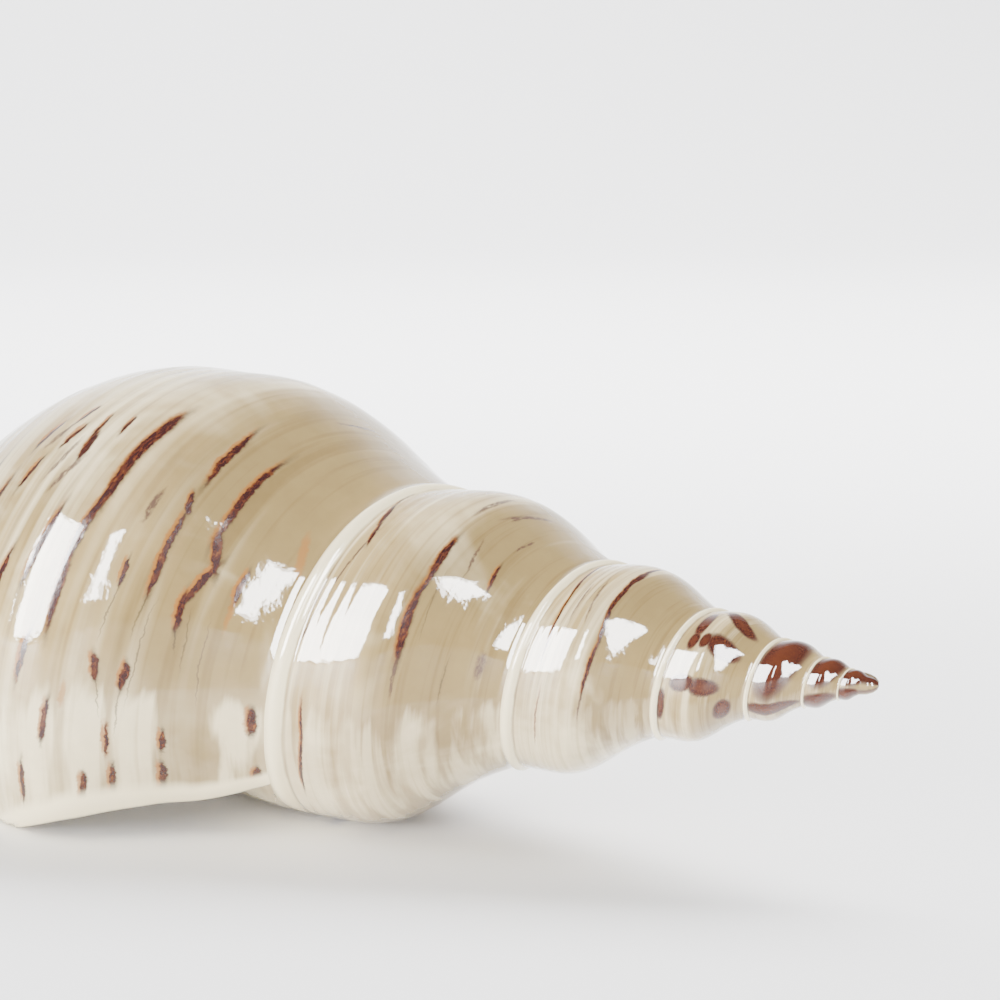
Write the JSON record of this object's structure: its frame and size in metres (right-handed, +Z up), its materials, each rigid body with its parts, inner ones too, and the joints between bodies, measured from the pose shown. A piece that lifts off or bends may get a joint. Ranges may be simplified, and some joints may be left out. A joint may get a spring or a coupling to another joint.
{
  "type": "ceramic conch shell",
  "caption": "Glazed ceramic conch shell with a left-handed spiral spire, corded sutures and a hollow, flared opening, lying on its lip.",
  "frame": {"origin": "bottom centre of the bounding box, on the surface that the shell lies on", "axes": "+X along the coiling axis towards the spire's point, +Z up, the front of the shell with the lip's top faces -Y"},
  "size_m": [0.34, 0.1412, 0.1254],
  "materials": {
    "reactive_glaze": "high gloss beige and cream glaze with red-brown streaks along the spiral grooves"
  },
  "bodies": {
    "root": {"shell": "reactive_glaze"}
  },
  "joints": []
}
